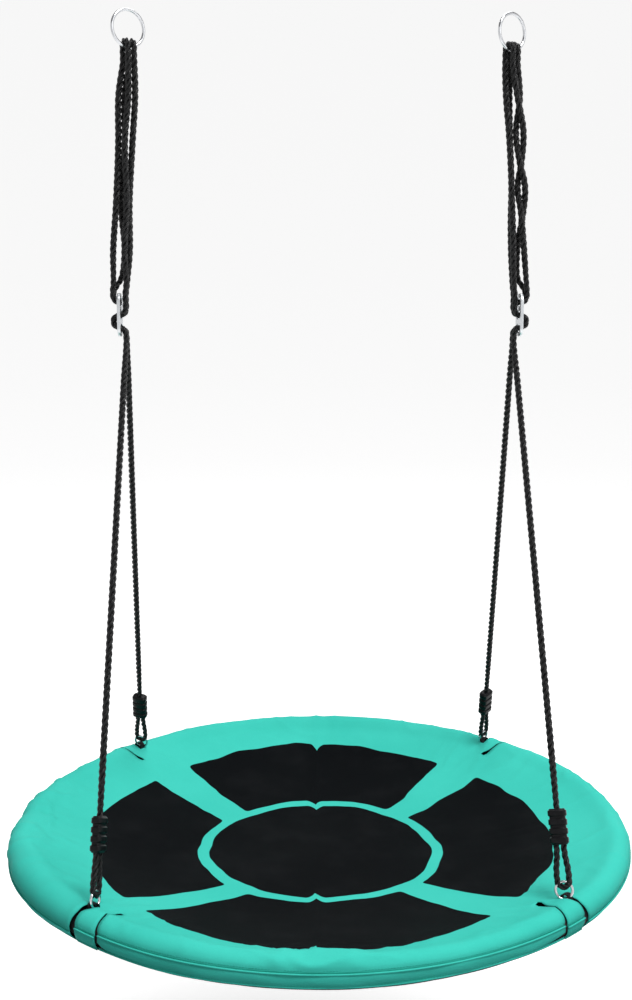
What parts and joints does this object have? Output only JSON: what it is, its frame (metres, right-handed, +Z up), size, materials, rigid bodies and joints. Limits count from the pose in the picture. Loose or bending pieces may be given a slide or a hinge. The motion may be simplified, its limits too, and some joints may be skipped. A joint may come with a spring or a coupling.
{
  "type": "saucer nest swing",
  "caption": "Round saucer nest swing: a padded steel hoop with a turquoise and black fabric seat on four black rope legs, with rope adjusters and two steel hanging rings.",
  "frame": {"origin": "midway between the centres of the two hanging rings, on which the swing hangs", "axes": "+Z up, +X to the right-hand ring, -Y towards the front of the seat"},
  "size_m": [1.016, 1.016, 1.3615],
  "materials": {
    "ring_steel": "zinc-plated, polished",
    "zinc_steel": "galvanised tube",
    "foam": "closed-cell foam, matt",
    "rope": "three-strand twisted polyethylene, slight sheen",
    "ferrule_plastic": "moulded, satin",
    "webbing": "woven polyester webbing",
    "cover_fabric": "oxford weave, coated",
    "deck_fabric": "oxford weave, coated"
  },
  "bodies": {
    "mount_rings": {"left_hanging_ring": "ring_steel", "right_hanging_ring": "ring_steel"},
    "left_bight": {"left_front_rope_bight": "rope", "left_back_rope_bight": "rope"},
    "left_hanger": {"left_adjuster_plate": "ring_steel", "left_front_rope_tail": "rope", "left_front_rope_leg": "rope", "left_front_rope_eye": "rope", "left_front_ferrule": "ferrule_plastic", "left_back_rope_tail": "rope", "left_back_rope_leg": "rope", "left_back_rope_eye": "rope", "left_back_ferrule": "ferrule_plastic"},
    "right_bight": {"right_front_rope_bight": "rope", "right_back_rope_bight": "rope"},
    "right_hanger": {"right_adjuster_plate": "ring_steel", "right_front_rope_tail": "rope", "right_front_rope_leg": "rope", "right_front_rope_eye": "rope", "right_front_ferrule": "ferrule_plastic", "right_back_rope_tail": "rope", "right_back_rope_leg": "rope", "right_back_rope_eye": "rope", "right_back_ferrule": "ferrule_plastic"},
    "seat": {"left_front_link_ring": "ring_steel", "left_back_link_ring": "ring_steel", "right_front_link_ring": "ring_steel", "right_back_link_ring": "ring_steel", "frame_tube_1": "zinc_steel", "tube_spigot_1": "zinc_steel", "foam_sleeve_1": "foam", "joint_screw_1": "ring_steel", "frame_tube_2": "zinc_steel", "tube_spigot_2": "zinc_steel", "foam_sleeve_2": "foam", "joint_screw_2": "ring_steel", "frame_tube_3": "zinc_steel", "tube_spigot_3": "zinc_steel", "foam_sleeve_3": "foam", "joint_screw_3": "ring_steel", "frame_tube_4": "zinc_steel", "tube_spigot_4": "zinc_steel", "foam_sleeve_4": "foam", "joint_screw_4": "ring_steel", "rim_cover_1": "cover_fabric", "rim_cover_2": "cover_fabric", "rim_cover_3": "cover_fabric", "rim_cover_4": "cover_fabric", "left_front_webbing": "webbing", "left_front_rim_tab": "cover_fabric", "left_back_webbing": "webbing", "left_back_rim_tab": "cover_fabric", "right_front_webbing": "webbing", "right_front_rim_tab": "cover_fabric", "right_back_webbing": "webbing", "right_back_rim_tab": "cover_fabric", "seat_deck": "deck_fabric"}
  },
  "joints": [
    {"name": "left_swing", "type": "hinge", "parent": "mount_rings", "child": "left_bight", "pos_m": [-0.297, 0, -0.0275], "axis": [1, 0, 0], "range_deg": [-40, 40]},
    {"name": "right_swing", "type": "hinge", "parent": "mount_rings", "child": "right_bight", "pos_m": [0.297, 0, -0.0275], "axis": [1, 0, 0], "range_deg": [-40, 40]},
    {"name": "left_sway", "type": "hinge", "parent": "left_bight", "child": "left_hanger", "pos_m": [-0.297, 0, -0.0415], "axis": [0, 1, 0], "range_deg": [-12, 12], "deforming": ["left_front_rope_bight", "left_front_rope_tail", "left_front_rope_leg", "left_back_rope_bight", "left_back_rope_tail", "left_back_rope_leg"]},
    {"name": "right_sway", "type": "hinge", "parent": "right_bight", "child": "right_hanger", "pos_m": [0.297, 0, -0.0415], "axis": [0, 1, 0], "range_deg": [-12, 12], "deforming": ["right_front_rope_bight", "right_front_rope_tail", "right_front_rope_leg", "right_back_rope_bight", "right_back_rope_tail", "right_back_rope_leg"]},
    {"name": "seat_level", "type": "hinge", "parent": "left_hanger", "child": "seat", "pos_m": [-0.334, 0, -1.243], "axis": [0, 1, 0], "range_deg": [-10.7, 10.7], "deforming": ["left_front_rope_eye", "left_back_rope_eye", "right_front_rope_eye", "right_back_rope_eye"]}
  ],
  "couplings": [
    {"joint": "right_swing", "follows": "left_swing", "ratio": 1},
    {"joint": "right_sway", "follows": "left_sway", "ratio": 1},
    {"joint": "seat_level", "follows": "left_sway", "ratio": -0.8892}
  ]
}
